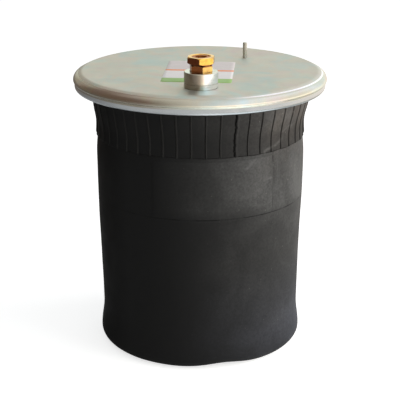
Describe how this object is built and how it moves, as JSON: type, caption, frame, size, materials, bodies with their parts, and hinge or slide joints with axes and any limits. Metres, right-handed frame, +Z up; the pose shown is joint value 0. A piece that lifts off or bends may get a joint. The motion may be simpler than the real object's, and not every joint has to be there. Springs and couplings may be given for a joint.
{
  "type": "air spring bellows",
  "caption": "Rolling-lobe air spring bellows: crimped round bead plate with an air inlet boss and a locating pin, rubber sleeve with a fluted neck band, and a wired lower bead.",
  "frame": {"origin": "on the bellows' axis, in the plane of the bottom of the rolled lobe, on which it stands", "axes": "+Z up the axis towards the bead plate, -Y towards the air inlet, +X to the right seen from the inlet's side"},
  "size_m": [0.282, 0.282, 0.3468],
  "materials": {
    "zinc_plate": "passivated zinc plating, satin, with faint iridescent stains",
    "zinc_boss": "zinc-plated turned steel",
    "weld": "welded steel",
    "pin_steel": "plated pin",
    "brass": "machined brass",
    "seal_rubber": "smooth nitrile",
    "bead_rubber": "moulded black rubber",
    "bead_wire": "bronzed bead wire",
    "band_rubber": "ribbed black rubber, dusty",
    "cover_rubber": "matt black rubber, dusty",
    "cord_ply": "rubberised cord",
    "liner_rubber": "smooth black liner"
  },
  "bodies": {
    "plate": {"bead_plate": "zinc_plate", "inlet_boss": "zinc_boss", "boss_weld": "weld", "locating_pin": "pin_steel", "pin_weld": "weld", "fitting_body": "brass", "union_nut": "brass", "thread_seal": "seal_rubber", "tube_seal": "seal_rubber", "upper_bead": "bead_rubber", "upper_bead_wire": "bead_wire", "upper_bead_filler": "bead_rubber", "neck_band": "band_rubber", "side_pad": "cover_rubber"},
    "collet": {"grip_collet": "brass"},
    "lobe": {"sleeve_cover": "cover_rubber", "cord_ply_outer": "cord_ply", "cord_ply_inner": "cord_ply", "inner_liner": "liner_rubber"},
    "lower_end": {"lower_bead": "bead_rubber", "lower_bead_wire": "bead_wire", "lower_bead_filler": "bead_rubber"}
  },
  "joints": [
    {"name": "lobe_travel", "type": "slide", "parent": "plate", "child": "lobe", "axis": [0, 0, 1], "range_m": [-0.055, 0.085], "stiffness_N_per_m": 40000, "deforming": ["sleeve_cover", "cord_ply_outer", "cord_ply_inner", "inner_liner"]},
    {"name": "bead_travel", "type": "slide", "parent": "lobe", "child": "lower_end", "axis": [0, 0, 1], "range_m": [-0.055, 0.085]},
    {"name": "collet_release", "type": "slide", "parent": "plate", "child": "collet", "axis": [0, 0, 1], "range_m": [-0.0012, 0], "stiffness_N_per_m": 1500}
  ],
  "couplings": [
    {"joint": "bead_travel", "follows": "lobe_travel", "ratio": 1}
  ]
}
